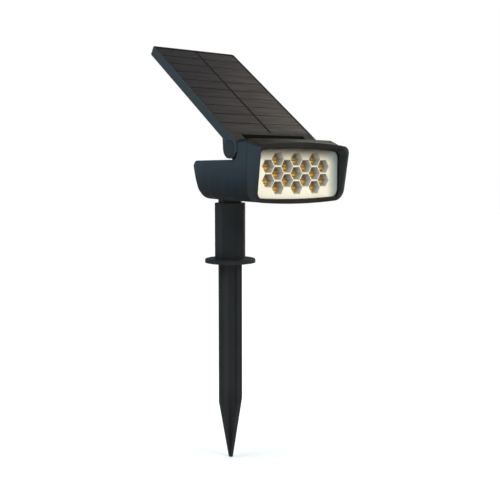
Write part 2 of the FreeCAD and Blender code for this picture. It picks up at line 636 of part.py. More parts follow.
def battery():
    """Round cell across the head in a cradle with a contact at each end."""
    y, z = -size("battery_y"), size("battery_z")
    half, nub, crimp_in = size("cell_length") / 2, size("nub_length"), 6.0
    can = cylinder("can", "cell_r", "cell_length - nub_length", V(-half, y, z), ALONG_X)
    tip = cylinder("nub", "2.8", "nub_length", V(half - nub, y, z), ALONG_X)
    outer = cylinder("crimp_out", "cell_r + 1", "1.2", V(half - crimp_in, y, z), ALONG_X)
    inner = cylinder("crimp_core", "cell_r - 0.6", "1.2", V(half - crimp_in, y, z), ALONG_X)
    crimp = cut("crimp", outer, [inner])
    keep(cut("cell_solid", fuse("cell_raw", [can, tip]), [crimp]), "battery_cell")

    low = size("floor_z + wall") + 0.1
    wall = size("cradle_wall")
    base = centred("cradle_base", ("cradle_long", "cradle_deep", "cradle_wall"),
                   V(0, y, low + wall / 2))
    steps = (("cradle_long", 6.0, 3.0), ("cell_length + 8", 5.0, 8.2))
    walls = [centred(f"cradle_wall_{side}_{rise}", (long, "cradle_wall", str(tall)),
                     V(0, y + side * size("cradle_deep - cradle_wall") / 2, low + rise))
             for side in (-1, 1) for long, tall, rise in steps]
    ends = [centred(f"cradle_end_{side}", ("1.2", "cradle_deep", "11"),
                    V(side * (half + 3.4), y, low + 11.2)) for side in (-1, 1)]
    room = cylinder("cradle_room", "cell_r + 0.05", "cell_length + 2", V(-half - 1, y, z), ALONG_X)
    keep(cut("cradle", fuse("cradle_solid", [base] + walls + ends), [room]), "battery_cradle")

    contacts = []
    for side in (-1, 1):
        plate = centred(f"contact_{side}", ("0.6", "10", "12"), V(side * (half + 0.31), y, z))
        foot = cylinder(f"contact_foot_{side}", "1.5", "2.2",
                        V(side * (half + 1.7) - 1.1, y, z + 3), ALONG_X)
        contacts.append(fuse(f"contact_set_{side}", [plate, foot]))
    keep(group("contacts", contacts), "battery_contacts")


# The button and its board share a frame: +Z leaves the raked rear face at its middle.
BUTTON_TILT = 118.0
BUTTON_PLACE = App.Placement(V(0, size("button_y"), size("button_z")),
                             App.Rotation(X_DIR, -BUTTON_TILT))


def on_rear(thing):
    """Place something made about the button's own axis on the rear face."""
    thing.Placement = BUTTON_PLACE.multiply(thing.Placement)
    return thing


def electronics():
    """Control board with its charge chip and the switch behind the button."""
    keep(on_rear(centred("pcb", ("30", "16", "board_thick"), V(0, 0, -2.2))), "control_board")
    chips = [on_rear(centred(f"chip_{x}", ("5", "4", "1.5"), V(x, 1, -0.65)))
             for x in (-10.0, 10.0)]
    keep(group("chips", chips), "charge_chips")
    base = centred("switch_base", ("6", "6", "2.6"), V(0, 0, -0.1))
    stem = cylinder("switch_stem", "1.6", "0.8", V(0, 0, 1.2))
    keep(on_rear(fuse("switch", [base, stem])), "button_switch")


def mode_button():
    """Round button with an inner collar that stops it coming out."""
    body = new_body("button")
    collar = circle(sketch_on(body, "collar_round", "XY_Plane", "button_foot"),
                    "button_radius + 1.6")
    pad(body, "collar", collar, "collar_thick")
    stem = circle(sketch_on(body, "stem_round", "XY_Plane", "button_foot"), "button_radius")
    face = pad(body, "stem", stem, "button_top - button_foot")
    fillet(body, "button_edge", face, "0.8",
           lambda edge: abs(edge.BoundBox.ZMin - size("button_top")) < 0.05)
    body.Placement = BUTTON_PLACE
    return keep(body, "mode_button")


# ---------------------------------------------------------------- hinge

def hinge_side(side):
    """Bolt, nut, washer and cap of one side of the hinge, in one row along X."""
    y, z = -size("hinge_y"), size("hinge_z")
    head_in = size("lug_outer - pocket_depth") + 0.3
    head_out = head_in + size("bolt_head_thick")
    nut_in, nut_out = size("nut_inner"), size("nut_outer")
    face = size("lug_outer")
    ring_in, ring_out = size("barrel_half"), size("lug_inner") - 0.3

    def along(name, radius, inner, outer):
        start = side * inner if side > 0 else side * outer
        return cylinder(f"{name}_{side}", radius, str(outer - inner), V(start, y, z), ALONG_X)

    bolt = fuse(f"bolt_{side}", [along("shank", "bolt_radius", size("bolt_inner"), head_in),
                                 along("bolt_head", "bolt_head", head_in, head_out)])
    nut = cut(f"nut_cut_{side}", along("nut", "nut_radius", nut_in, nut_out),
              [along("nut_bore", "bolt_radius", nut_in, nut_out)])
    washer = cut(f"washer_cut_{side}", along("washer", "barrel_radius - 0.4", ring_in, ring_out),
                 [along("washer_hole", "bolt_radius + 0.1", ring_in, ring_out)])
    cap = fuse(f"cap_{side}", [along("cap_skirt", "cap_pocket", face - 2.2, face - 0.9),
                               along("cap_face", "cap_pocket - 0.3", face - 1.0, face + 0.05)])
    return bolt, nut, washer, cap


def hinge():
    sides = [hinge_side(-1), hinge_side(1)]
    for index, label in enumerate(("hinge_bolts", "hinge_nuts", "hinge_washers", "hinge_caps")):
        keep(group(label + "_set", [side[index] for side in sides]), label)


# ---------------------------------------------------------------- solar panel
# Built flat about the hinge axis: local Y runs up the panel, local Z is its face normal.

PANEL_TILT = App.Rotation(X_DIR, size("panel_tilt"))
PANEL_PLACE = App.Placement(V(0, -size("hinge_y"), size("hinge_z")), PANEL_TILT)


def rectangle(sketch, half, low, high):
    """Rectangle that is symmetric about the panel's middle."""
    return outline(sketch, [(f"-({half})", low), (half, low), (half, high), (f"-({half})", high)])


def panel_leg(body, side):
    """Leg at one side of the panel: a round lug about the hinge that flows into the tray."""
    inner = "lug_inner" if side > 0 else "-lug_outer"
    under = "panel_face - panel_thick"
    leg = outline(sketch_on(body, f"leg_side_{side}", "YZ_Plane", inner), [
        ("-leg_end", "panel_face", "leg_front_round"), ("-shin_u", "shin_w"),
        ("-ankle_u", "-ankle_w", "ankle_round"), ("-sole_u", "-sole_w", "sole_round"),
        ("calf_u", "-calf_w"), ("knee_u", under), ("knee_u + 2", f"{under} + 2"),
        ("knee_u + 2", "panel_face - 3"), ("8", "panel_face")])
    pad(body, f"leg_{side}", leg, "lug_outer - lug_inner")


def panel_tray():
    """Shallow hollow tray with two legs that end in round hinge lugs."""
    body = new_body("tray")
    under = "panel_face - panel_thick"
    side_in = "panel_half - panel_corner"
    low_in, high_in = "panel_low + panel_corner", "panel_high - panel_corner"
    plate = outline(sketch_on(body, "plate_side", "XY_Plane", under), [
        (f"-({side_in})", "panel_low"), (side_in, "panel_low", "panel_corner"),
        ("panel_half", low_in), ("panel_half", high_in, "panel_corner"),
        (side_in, "panel_high"), (f"-({side_in})", "panel_high", "panel_corner"),
        ("-panel_half", high_in), ("-panel_half", low_in, "panel_corner")])
    slab = pad(body, "plate", plate, "panel_thick")
    fillet(body, "back_edges", slab, "back_round",
           lambda edge: edge.BoundBox.ZMax < size(under) + 0.1)
    for side in (-1, 1):
        panel_leg(body, side)
    film = rectangle(sketch_on(body, "laminate_room", "XY_Plane", "panel_face"),
                     "panel_half - side_lip", "panel_low + bottom_lip", "panel_high - top_lip")
    pocket(body, "laminate_pocket", film, "laminate_depth")
    room = rectangle(sketch_on(body, "hollow_room", "XY_Plane", "panel_face - laminate_depth"),
                     "panel_half - rib", "panel_low + bottom_lip + rib", "panel_high - rib")
    pocket(body, "hollow", room, "hollow_depth")
    for side in (-1, 1):
        start = "lug_outer" if side > 0 else "-lug_outer"
        recess = circle(sketch_on(body, f"cap_round_{side}", "YZ_Plane", start), "cap_pocket")
        pocket(body, f"cap_recess_{side}", recess, "pocket_depth", reverse=side < 0)
    bore = circle(sketch_on(body, "bore_round", "YZ_Plane"), "bolt_radius + bolt_gap")
    pocket(body, "bolt_bores", bore, "2 * lug_outer + 2", symmetric=True)
    body.Placement = PANEL_PLACE
    return keep(body, "panel_tray")


def on_panel(thing):
    """Place something made flat in the panel's own frame on the tilted panel."""
    thing.Placement = PANEL_PLACE.multiply(thing.Placement)
    return thing


def panel_inlay():
    """Backing board with two columns of cell strips on it."""
    low, high = size("panel_low + bottom_lip"), size("panel_high - top_lip")
    top = size("panel_face - laminate_depth + laminate_thick")
    half = size("panel_half - side_lip")
    edge = 0.1
    backing = centred("backing", (str(2 * (half - edge)), str(high - low - 2 * edge),
                                  "laminate_thick"),
                      V(0, (low + high) / 2, top - size("laminate_thick") / 2))
    keep(on_panel(backing), "cell_backing")

    rows, gap = int(size("cell_rows")), size("column_gap")
    end_edge, side_edge = 0.3, 0.8
    pitch = (high - low - 2 * end_edge) / rows
    wide = half - side_edge - gap / 2
    strips = []
    for row in range(rows):
        for side in (-1, 1):
            centre = V(side * (wide + gap) / 2, low + end_edge + pitch * (row + 0.5),
                       top + size("cell_film") / 2)
            strips.append(on_panel(centred(f"strip_{row}_{side}",
                                           (str(wide), f"{pitch} - cell_gap", "cell_film"),
                                           centre)))
    keep(group("strips", strips), "solar_cells")


# ---------------------------------------------------------------- build, check and write

def build():
    for make in (ground_spike, stake_sleeve, neck_post, neck_fittings, head_housing,
                 front_bezel, front_lens, lens_gasket, reflector, light_board, bezel_screws,
                 battery, electronics, mode_button, hinge, panel_tray, panel_inlay):
        make()
    doc.recompute()


def check():
    """Every object is sound, and every sub-part is a valid shape."""
    failed = [thing.Name for thing in doc.Objects
              if "Invalid" in thing.State or "Error" in thing.State]
    for part in PARTS:
        if part.Shape.isNull() or not part.Shape.isValid():
            failed.append(part.Label)
    if failed:
        raise SystemExit("failed: " + ", ".join(failed))


def write():
    os.makedirs("parts", exist_ok=True)
    for part in PARTS:
        part.Shape.exportStep(f"parts/{part.Label}.step")
        box = part.Shape.BoundBox
        print(f"{part.Label:18s} solids {len(part.Shape.Solids):2d} volume {part.Shape.Volume:9.0f}"
              f"  x {box.XMin:7.1f} {box.XMax:7.1f}  y {box.YMin:7.1f} {box.YMax:7.1f}"
              f"  z {box.ZMin:7.1f} {box.ZMax:7.1f}")


build()
check()
write()
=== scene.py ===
import json
import math

import bpy
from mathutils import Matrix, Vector


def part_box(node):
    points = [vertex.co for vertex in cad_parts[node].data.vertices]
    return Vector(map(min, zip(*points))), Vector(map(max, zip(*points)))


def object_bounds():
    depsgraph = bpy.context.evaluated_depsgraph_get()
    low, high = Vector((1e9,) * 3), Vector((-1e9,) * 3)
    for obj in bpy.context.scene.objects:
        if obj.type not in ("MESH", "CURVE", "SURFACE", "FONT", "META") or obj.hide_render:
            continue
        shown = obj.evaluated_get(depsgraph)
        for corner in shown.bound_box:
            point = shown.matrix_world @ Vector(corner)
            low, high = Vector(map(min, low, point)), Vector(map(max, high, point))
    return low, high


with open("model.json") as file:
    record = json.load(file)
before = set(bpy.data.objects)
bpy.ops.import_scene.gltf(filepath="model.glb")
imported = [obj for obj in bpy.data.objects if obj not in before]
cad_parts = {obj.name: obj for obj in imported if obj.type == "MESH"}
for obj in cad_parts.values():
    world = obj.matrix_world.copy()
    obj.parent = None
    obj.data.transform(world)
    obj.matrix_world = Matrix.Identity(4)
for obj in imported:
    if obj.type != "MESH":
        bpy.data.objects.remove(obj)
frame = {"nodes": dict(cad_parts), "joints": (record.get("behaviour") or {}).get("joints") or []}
cad_bounds = [list(corner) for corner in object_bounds()]

MM = 0.001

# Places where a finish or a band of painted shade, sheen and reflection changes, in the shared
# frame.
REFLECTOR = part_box("reflector")
COMB_FACE = REFLECTOR[0][1] + 1.4 * MM
COMB_MIDDLE = 79.86 * MM
CELL_ACROSS, CELL_UP = 9.743 * MM, 11.25 * MM
DISH_TOP = REFLECTOR[1][2]
DISH_SIDE = REFLECTOR[1][0]
DISH_SHADE_BAND = 10.5 * MM
TRAY_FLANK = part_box("panel_tray")[1][0] - 0.6 * MM
BEZEL_FLANK = 46.15 * MM
RIM_RIGHT, RIM_RIGHT_FULL = 40.5 * MM, 43.0 * MM
HEAD_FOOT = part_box("head_housing")[0][2]
ROOF_FOOT = 98.0 * MM
ROOF_DARK_X, ROOF_PALE_X = -25.0 * MM, 40.0 * MM
GROOVE_OUT, GROOVE_IN = 10.0 * MM, 3.0 * MM
GROOVE_LOW, GROOVE_HIGH = -160.0 * MM, -110.0 * MM

# The cells on the panel: half its width, its run up the slope, and the printed lines.
CELLS_HALF = 44.0 * MM
CELLS_START, CELLS_END = 10.0 * MM, 145.0 * MM
FINGER_PITCH, FINGER_WIDTH = 1.55 * MM, 0.16 * MM
SPINE_HALF, SPINE_EDGE = 1.2 * MM, 1.6 * MM

# Painted cool sheen and painted warm reflection colours that more than one moulding shares.
PAINTED_COOL_SHEEN = (0.0275, 0.0365, 0.0430)
ROOF_REFLECTION_DARK, ROOF_REFLECTION_PALE = (0.0105, 0.0096, 0.0078), (0.050, 0.0480, 0.0390)

HEAD_CENTRE = (0.0, -0.03, 0.08)
FLOOR_Z = cad_bounds[0][2] - 0.5 * MM


# ---------------------------------------------------------------- node helpers

class Shader:
    """A small wrapper round one material's node tree."""

    def __init__(self, name):
        self.material = bpy.data.materials.new(name)
        self.material.use_nodes = True
        self.tree = self.material.node_tree
        self.tree.nodes.clear()
        self.output = self.tree.nodes.new("ShaderNodeOutputMaterial")
        coordinates = self.node("ShaderNodeTexCoord")
        self.place = coordinates.outputs["Object"]
        self.facing = coordinates.outputs["Normal"]

    def node(self, kind, **settings):
        made = self.tree.nodes.new(kind)
        for key, value in settings.items():
            setattr(made, key, value)
        return made

    def link(self, source, target):
        self.tree.links.new(source, target)

    def feed(self, socket, value):
        """A socket takes either another socket or a constant."""
        if isinstance(value, bpy.types.NodeSocket):
            self.link(value, socket)
        else:
            socket.default_value = value

    def principled(self, **sockets):
        made = self.node("ShaderNodeBsdfPrincipled")
        for key, value in sockets.items():
            self.feed(made.inputs[key.replace("_", " ")], value)
        return made

    def show(self, shader):
        self.link(shader.outputs[0], self.output.inputs["Surface"])
        return self.material

    def noise(self, scale, detail=2.0, stretch=None, roughness=0.5):
        """Noise value in object space; stretch scales the axes first."""
        made = self.node("ShaderNodeTexNoise")
        made.inputs["Scale"].default_value = scale
        made.inputs["Detail"].default_value = detail
        made.inputs["Roughness"].default_value = roughness
        self.link(self.stretched(stretch), made.inputs["Vector"])
        return made.outputs[0]

    def stretched(self, stretch):
        if stretch is None:
            return self.place
        made = self.node("ShaderNodeMapping")
        made.inputs["Scale"].default_value = stretch
        self.link(self.place, made.inputs["Vector"])
        return made.outputs[0]

    def ramp(self, value, stops):
        """Colour ramp: stops are (position, colour)."""
        made = self.node("ShaderNodeValToRGB")
        elements = made.color_ramp.elements
        while len(elements) < len(stops):
            elements.new(0.5)
        for element, (position, colour) in zip(elements, stops):
            element.position = position
            element.color = (*colour, 1.0)
        self.link(value, made.inputs["Fac"])
        return made.outputs["Color"]

    def span(self, value, low, high, first=0.0, last=1.0):
        """Map a value from one range to another, clamped."""
        made = self.node("ShaderNodeMapRange")
        for key, number in (("From Min", low), ("From Max", high),
                            ("To Min", first), ("To Max", last)):
            made.inputs[key].default_value = number
        self.feed(made.inputs["Value"], value)
        return made.outputs["Result"]

    def math(self, operation, first, second=0.0):
        made = self.node("ShaderNodeMath", operation=operation)
        self.feed(made.inputs[0], first)
        self.feed(made.inputs[1], second)
        return made.outputs[0]

    def mix(self, factor, first, second):
        made = self.node("ShaderNodeMix", data_type="RGBA")
        self.feed(made.inputs[0], factor)
        for socket, value in ((made.inputs[6], first), (made.inputs[7], second)):
            self.feed(socket, value if isinstance(value, bpy.types.NodeSocket) else (*value, 1.0))
        return made.outputs[2]

    def bump(self, height, distance, strength=1.0, rounding=0.0):
        """Bump from a height, over edges rounded by a small radius."""
        made = self.node("ShaderNodeBump")
        made.inputs["Strength"].default_value = strength
        made.inputs["Distance"].default_value = distance
        self.link(height, made.inputs["Height"])
        if rounding:
            edge = self.node("ShaderNodeBevel", samples=4)
            edge.inputs["Radius"].default_value = rounding
            self.link(edge.outputs[0], made.inputs["Normal"])
        return made.outputs[0]

    def axis(self, name, source=None):
        made = self.node("ShaderNodeSeparateXYZ")
        self.link(source or self.place, made.inputs[0])
        return made.outputs[name]


# ---------------------------------------------------------------- materials

def moulded_black(name, dark, light, roughness=0.5, grain=0.02 * MM, rounding=0.4 * MM,
                  gloss=0.05, painted_light=None):
    """Moulded plastic: fine grain, faint flow marks, softly rounded edges.

    The last argument takes the shader and its colour so far, and returns that colour with painted
    light added: sheen, reflection or shade.
    """
    s = Shader(name)
    clouds = s.noise(38.0, 4.0)
    speckle = s.noise(2600.0, 2.0)
    tone = s.math("ADD", s.math("MULTIPLY", clouds, 0.7), s.math("MULTIPLY", speckle, 0.3))
    colour = s.ramp(tone, [(0.35, dark), (0.65, light)])
    if painted_light:
        colour = painted_light(s, colour)
    smear = s.noise(90.0, 3.0, stretch=(1.0, 1.0, 0.25))
    rough = s.span(smear, 0.3, 0.7, roughness - 0.05, roughness + 0.07)
    normal = s.bump(speckle, grain, 0.55, rounding)
    return s.show(s.principled(Base_Color=colour, Roughness=rough, Normal=normal,
                               IOR=1.5, Specular_IOR_Level=gloss))


def rubber(name, dark, light):
    """Matt rubber with a fine grain."""
    s = Shader(name)
    fine = s.noise(1800.0, 3.0)
    colour = s.ramp(s.noise(60.0, 3.0), [(0.3, dark), (0.7, light)])
    return s.show(s.principled(Base_Color=colour, Roughness=s.span(fine, 0.3, 0.7, 0.62, 0.8),
                               Normal=s.bump(fine, 0.03 * MM, 0.5, 0.3 * MM)))


def metal(name, colour, deep, roughness=0.28):
    """Plated metal with fine turning marks."""
    s = Shader(name)
    marks = s.noise(700.0, 3.0, stretch=(0.15, 1.0, 1.0))
    shade = s.ramp(marks, [(0.3, deep), (0.7, colour)])
    return s.show(s.principled(Base_Color=shade, Metallic=1.0,
                               Roughness=s.span(marks, 0.2, 0.8, roughness - 0.06,
                                                roughness + 0.1),
                               Normal=s.bump(marks, 0.01 * MM, 0.5, 0.2 * MM)))


def cell_lattice(s, shift):
    """Height inside the cells of every second column, and how far the nearest centre is."""
    across = s.math("DIVIDE", s.axis("X"), 2 * CELL_ACROSS)
    rise = s.math("DIVIDE", s.math("ADD", s.axis("Z"), -COMB_MIDDLE), CELL_UP)
    column = s.math("FRACT", s.math("ADD", across, 10.0 + shift))
    row = s.math("FRACT", s.math("ADD", rise, 10.0 + shift))
    aside = s.math("MULTIPLY", s.math("SUBTRACT", column, 0.5), 2 * CELL_ACROSS)
    above = s.math("MULTIPLY", s.math("SUBTRACT", row, 0.5), CELL_UP)
    return row, s.math("ADD", s.math("POWER", aside, 2.0), s.math("POWER", above, 2.0))


def cell_phase(s):
    """Height inside the nearest cell of the honeycomb: 0 at its floor, 0.5 at its middle."""
    even, even_away = cell_lattice(s, 0.5)
    odd, odd_away = cell_lattice(s, 0.0)
    nearer = s.math("LESS_THAN", even_away, odd_away)
    return s.math("ADD", odd, s.math("MULTIPLY", nearer, s.math("SUBTRACT", even, odd)))


def cream_reflector():
    """Warm cream dish with painted shade near its top and a cool painted shade on its right side;
    cell walls with painted shade, darker farther in and towards the top of each cell.
    """
    s = Shader("reflector_cream")
    haze = s.noise(55.0, 3.0)
    fine = s.noise(1500.0, 2.0)
    cream = s.ramp(haze, [(0.3, (0.90, 0.81, 0.65)), (0.7, (0.94, 0.86, 0.70))])
    # Painted shade: dull brown at the dish's top under the rim, cool grey on its right side.
    painted_top_shade, painted_side_shade = (0.104, 0.080, 0.044), (0.350, 0.388, 0.355)
    top = s.span(s.axis("Z"), DISH_TOP - DISH_SHADE_BAND, DISH_TOP - 1.0 * MM)
    side = s.span(s.axis("X"), DISH_SIDE - DISH_SHADE_BAND, DISH_SIDE - 3.0 * MM)
    dish = s.mix(side, s.mix(top, cream, painted_top_shade), painted_side_shade)
    # Painted shade on the cell walls: darker towards the top of each cell and farther in.
    lit = s.span(cell_phase(s), 0.95, 0.45)
    near = s.mix(lit, (0.31, 0.28, 0.21), (0.72, 0.70, 0.62))
    deep = s.mix(lit, (0.17, 0.15, 0.105), (0.43, 0.39, 0.30))
    depth = s.axis("Y")
    wall = s.mix(s.span(depth, COMB_FACE + 1.0 * MM, COMB_FACE + 6.0 * MM), near, deep)
    colour = s.mix(s.span(depth, COMB_FACE + 0.1 * MM, COMB_FACE + 0.5 * MM), dish, wall)
    return s.show(s.principled(Base_Color=colour, Roughness=s.span(haze, 0.3, 0.7, 0.40, 0.5),
                               Specular_IOR_Level=0.25,
                               Normal=s.bump(fine, 0.006 * MM, 0.4, 0.25 * MM)))


def clear_lens():
    """Clear sheet that lets light straight through.

    Only the face that light enters by mirrors: light isn't bent, so at a slant the other face
    would count as a full mirror. The index is low to keep the cells easy to see.
    """
    s = Shader("lens_clear")
    clear = s.node("ShaderNodeBsdfTransparent")
    clear.inputs["Color"].default_value = (0.985, 0.99, 0.99, 1.0)
    ripple = s.noise(25.0, 2.0)
    gloss = s.node("ShaderNodeBsdfGlossy")
    gloss.inputs["Color"].default_value = (1.0, 1.0, 1.0, 1.0)
    gloss.inputs["Roughness"].default_value = 0.03
    s.link(s.bump(ripple, 0.02 * MM, 0.2), gloss.inputs["Normal"])
    rim = s.node("ShaderNodeFresnel")
    rim.inputs["IOR"].default_value = 1.25
    leaving = s.node("ShaderNodeNewGeometry").outputs["Backfacing"]
    mirrored = s.math("MULTIPLY", rim.outputs[0], s.math("SUBTRACT", 1.0, leaving))
    mixed = s.node("ShaderNodeMixShader")
    s.link(mirrored, mixed.inputs[0])
    s.link(clear.outputs[0], mixed.inputs[1])
    s.link(gloss.outputs[0], mixed.inputs[2])
    return s.show(mixed)


def amber_phosphor():
    """Amber gel over the chip, with fine darker bars and painted shade towards the top of its
    cell.
    """
    s = Shader("phosphor_amber")
    cloud = s.noise(420.0, 3.0)
    bars = s.node("ShaderNodeTexWave", wave_type="BANDS", bands_direction="Z")
    bars.inputs["Scale"].default_value = 120.0
    bars.inputs["Distortion"].default_value = 1.2
    s.link(s.place, bars.inputs["Vector"])
    gel = s.ramp(cloud, [(0.3, (0.68, 0.32, 0.008)), (0.7, (0.95, 0.52, 0.012))])
    # Painted shade: the gel turns dark brown towards the top of its cell.
    lit = s.span(cell_phase(s), 0.66, 0.34)
    gel = s.mix(lit, (0.22, 0.12, 0.035), gel)
    colour = s.mix(s.span(bars.outputs["Fac"], 0.7, 0.95), gel, (0.14, 0.07, 0.015))
    return s.show(s.principled(Base_Color=colour, Roughness=s.span(cloud, 0.3, 0.7, 0.2, 0.35),
                               Coat_Weight=0.4, Coat_Roughness=0.08,
                               Normal=s.bump(cloud, 0.03 * MM, 0.4)))


def package_body():
    """Moulded frame round each light chip, in mottled browns."""
    s = Shader("package_brown")
    cloud = s.noise(500.0, 3.0)
    colour = s.ramp(cloud, [(0.3, (0.36, 0.22, 0.09)), (0.7, (0.58, 0.42, 0.2))])
    return s.show(s.principled(Base_Color=colour, Roughness=s.span(cloud, 0.3, 0.7, 0.4, 0.55),
                               Normal=s.bump(cloud, 0.02 * MM, 0.4)))


def circuit_board():
    """Solder mask with copper tracks showing through as lighter lines."""
    s = Shader("board_green")
    tracks = s.node("ShaderNodeTexBrick")
    tracks.inputs["Scale"].default_value = 160.0
    tracks.inputs["Color1"].default_value = (0.015, 0.12, 0.06, 1.0)
    tracks.inputs["Color2"].default_value = (0.012, 0.09, 0.05, 1.0)
    tracks.inputs["Mortar"].default_value = (0.06, 0.26, 0.12, 1.0)
    tracks.inputs["Mortar Size"].default_value = 0.05
    s.link(s.place, tracks.inputs["Vector"])
    fine = s.noise(900.0, 2.0)
    return s.show(s.principled(Base_Color=tracks.outputs["Color"],
                               Roughness=s.span(fine, 0.3, 0.7, 0.25, 0.4),
                               Normal=s.bump(tracks.outputs["Fac"], 0.02 * MM, 0.3)))


def shrink_sleeve():
    """Blue film shrunk round the battery cell."""
    s = Shader("sleeve_blue")
    fine = s.noise(300.0, 3.0)
    colour = s.ramp(fine, [(0.3, (0.02, 0.09, 0.26)), (0.7, (0.03, 0.13, 0.34))])
    return s.show(s.principled(Base_Color=colour, Roughness=s.span(fine, 0.3, 0.7, 0.18, 0.3),
                               Normal=s.bump(s.noise(60.0, 2.0), 0.1 * MM, 0.3)))


# Panel frame: up the slope and square to it, for line patterns on the cells.
PANEL_JOINT = next(joint for joint in frame["joints"] if joint["name"] == "panel_tilt")
HINGE = Vector(PANEL_JOINT["pos_m"])
TILT = math.radians(35.5)


def up_slope(s):
    """Distance up the panel from the hinge axis, in metres."""
    along = s.math("MULTIPLY", s.math("ADD", s.axis("Y"), -HINGE.y), math.cos(TILT))
    rise = s.math("MULTIPLY", s.math("ADD", s.axis("Z"), -HINGE.z), math.sin(TILT))
    return s.math("ADD", along, rise)


def comb_line(s, value, pitch, width):
    """1 on thin lines that repeat every pitch, 0 between them."""
    phase = s.math("FRACT", s.math("DIVIDE", value, pitch))
    away = s.math("ABSOLUTE", s.math("SUBTRACT", phase, 0.5))
    return s.span(away, 0.5 - width / pitch, 0.5)


def solar_cells():
    """Dark silicon: fine finger lines, streaks, and a painted warm sheen towards the low right
    corner.
    """
    s = Shader("cells_silicon")
    slope = up_slope(s)
    fingers = comb_line(s, slope, FINGER_PITCH, FINGER_WIDTH)
    bloom = s.noise(14.0, 3.0)
    streak = s.noise(260.0, 4.0, stretch=(0.09, 1.0, 1.0), roughness=0.65)
    # Painted warm sheen: the violet silicon turns lighter and warmer towards the low right
    # corner.
    painted_warm_sheen = s.mix(bloom, (0.064, 0.055, 0.048), (0.080, 0.069, 0.060))
    violet = s.mix(bloom, (0.0050, 0.0044, 0.0066), (0.0085, 0.0075, 0.0104))
    across = s.span(s.axis("X"), -CELLS_HALF, CELLS_HALF)
    up = s.span(slope, CELLS_START, CELLS_END)
    corner = s.math("MULTIPLY", s.math("ADD", across, s.math("SUBTRACT", 1.0, up)), 0.5)
    base = s.mix(s.math("POWER", corner, 2.0), violet, painted_warm_sheen)
    base = s.mix(s.span(streak, 0.42, 0.64, 0.0, 0.45), base, (0.006, 0.005, 0.005))
    colour = s.mix(s.math("MULTIPLY", fingers, 0.14), base, (0.16, 0.145, 0.14))
    return s.show(s.principled(Base_Color=colour, Roughness=s.span(streak, 0.3, 0.7, 0.36, 0.5),
                               Specular_IOR_Level=0.04,
                               Normal=s.bump(streak, 0.02 * MM, 0.25)))


def panel_backing():
    """Board that shows in the gaps between the cells, darker along its middle."""
    s = Shader("backing_dark")
    fine = s.noise(900.0, 2.0)
    board = s.ramp(s.noise(40.0, 3.0), [(0.3, (0.026, 0.0237, 0.0235)),
                                        (0.7, (0.034, 0.0310, 0.0295))])
    middle = s.span(s.math("ABSOLUTE", s.axis("X")), SPINE_HALF, SPINE_EDGE)
    colour = s.mix(middle, (0.006, 0.0055, 0.0055), board)
    return s.show(s.principled(Base_Color=colour, Roughness=s.span(fine, 0.3, 0.7, 0.35, 0.45),
                               Specular_IOR_Level=0.04, Normal=s.bump(fine, 0.01 * MM, 0.3)))


def beyond(s, reach):
    """1 on the flanks farther from the middle than reach, 0 between them."""
    out, soft = s.math("ABSOLUTE", s.axis("X")), 0.2 * MM
    return s.span(out, reach - soft, reach + soft)


def upright(s):
    """1 on walls, 0 on faces that look up or down."""
    return s.span(s.math("ABSOLUTE", s.axis("Z", s.facing)), 0.75, 0.35)


def rising(s):
    """0 at the head's foot, 1 from its middle up."""
    return s.span(s.axis("Z"), HEAD_FOOT + 3.0 * MM, HEAD_FOOT + 32.0 * MM)


def roof_painted_reflection(s, colour):
    """Painted warm reflection on the hump's top, paler towards the right."""
    looks_up = s.span(s.axis("Z", s.facing), 0.75, 0.92)
    high = s.span(s.axis("Z"), ROOF_FOOT, ROOF_FOOT + 2.0 * MM)
    across = s.span(s.axis("X"), ROOF_DARK_X, ROOF_PALE_X)
    painted_warm_sheen = s.mix(across, ROOF_REFLECTION_DARK, ROOF_REFLECTION_PALE)
    return s.mix(s.math("MULTIPLY", looks_up, high), colour, painted_warm_sheen)


def tray_painted_sheen(s, colour):
    """Painted cool sheen on the flanks."""
    return s.mix(beyond(s, TRAY_FLANK), colour, (0.031, 0.039, 0.043))


def head_painted_light(s, colour):
    """Painted cool sheen on the walls, fading towards the foot, and a painted warm reflection on
    the top.
    """
    walls = s.mix(s.math("MULTIPLY", upright(s), rising(s)), colour, PAINTED_COOL_SHEEN)
    return roof_painted_reflection(s, walls)


def bezel_painted_light(s, colour):
    """Painted cool sheen on the flanks, a painted warm reflection on the top, and painted light
    that makes the right-hand rim paler.
    """
    right = s.mix(s.span(s.axis("X"), RIM_RIGHT, RIM_RIGHT_FULL), colour, (0.036, 0.039, 0.038))
    flanks = s.mix(s.math("MULTIPLY", beyond(s, BEZEL_FLANK), rising(s)), right, PAINTED_COOL_SHEEN)
    return roof_painted_reflection(s, flanks)


def spike_painted_light(s, colour):
    """Painted light in the grooves between the fins: paler where shade falls between them."""
    square = s.math("ADD", s.math("POWER", s.axis("X"), 2.0), s.math("POWER", s.axis("Y"), 2.0))
    groove = s.span(s.math("SQRT", square), GROOVE_OUT, GROOVE_IN)
    upper = s.span(s.axis("Z"), GROOVE_LOW, GROOVE_HIGH)
    return s.mix(s.math("MULTIPLY", groove, upper), colour, (0.045, 0.046, 0.048))


# The functions passed in below paint sheen, reflection and shade into a moulding's colour.
SPIKE = moulded_black("plastic_spike", (0.0155, 0.0160, 0.0162), (0.0215, 0.0222, 0.0225),
                      painted_light=spike_painted_light)
BLACK = moulded_black("plastic_black", (0.0155, 0.0165, 0.0170), (0.0220, 0.0230, 0.0235))
HEAD = moulded_black("plastic_head", (0.0060, 0.0068, 0.0072), (0.0090, 0.0100, 0.0105),
                     roughness=0.62, gloss=0.02, painted_light=head_painted_light)
SLEEVE = moulded_black("plastic_sleeve", (0.0200, 0.0211, 0.0217), (0.0280, 0.0293, 0.0300),
                       roughness=0.62, gloss=0.02)
